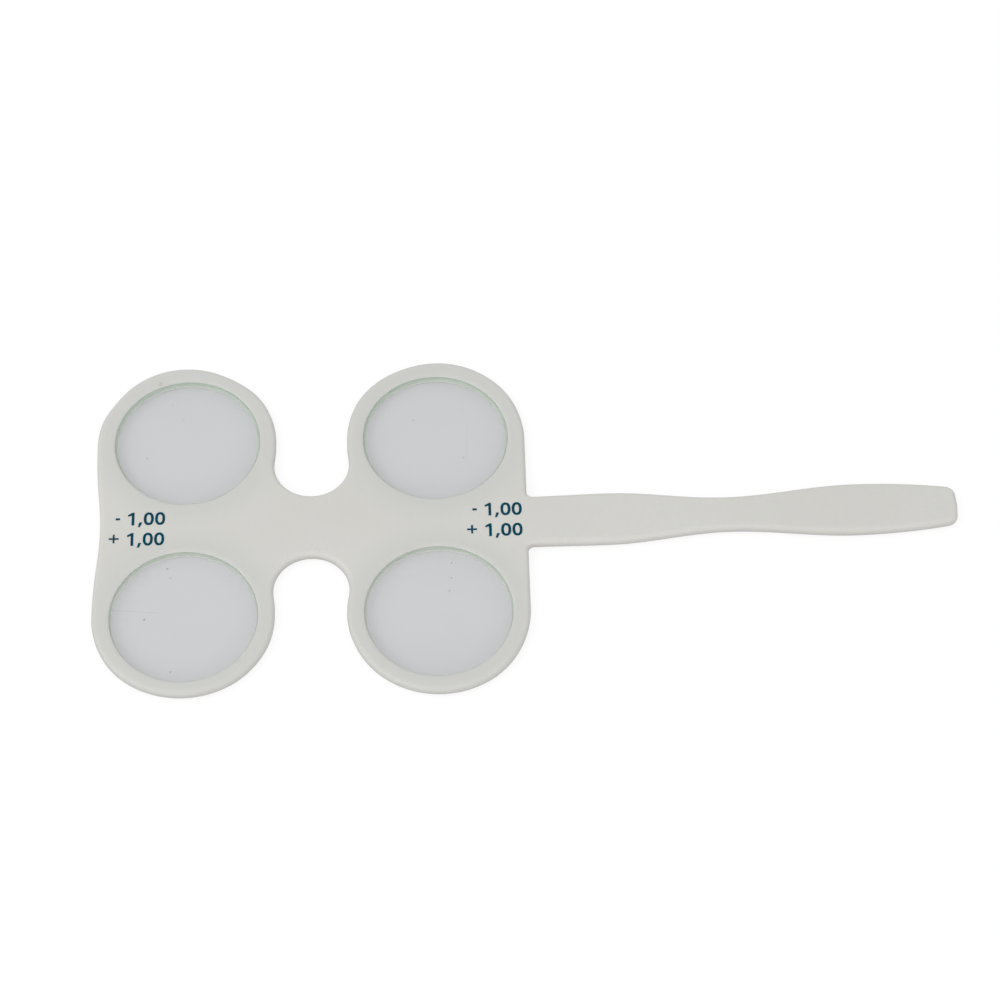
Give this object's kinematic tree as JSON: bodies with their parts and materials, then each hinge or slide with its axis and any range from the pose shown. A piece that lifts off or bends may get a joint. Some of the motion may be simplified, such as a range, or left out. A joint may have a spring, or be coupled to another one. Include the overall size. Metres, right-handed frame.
{
  "type": "lens flipper",
  "caption": "Hand-held flat plastic lens flipper with nose notches and a wavy handle, holding minus trial lenses above plus trial lenses for a quick vision check.",
  "frame": {"origin": "back face of the plate, midway between the four lenses", "axes": "+X along the handle, +Y from the plus lenses to the minus lenses, +Z from the back face to the printed front face"},
  "size_m": [0.2237, 0.0995, 0.003],
  "materials": {
    "frame_plastic": "off-white moulded plastic, satin, slightly polished on the rounded edges",
    "lens_glass_minus": "clear polished mineral glass with a faint green edge",
    "lens_glass_plus": "clear polished mineral glass with a faint green edge",
    "ink": "dark teal pad-printed ink"
  },
  "bodies": {
    "root": {"frame": "frame_plastic", "lens_minus_left": "lens_glass_minus", "lens_minus_right": "lens_glass_minus", "lens_plus_left": "lens_glass_plus", "lens_plus_right": "lens_glass_plus"}
  },
  "joints": []
}
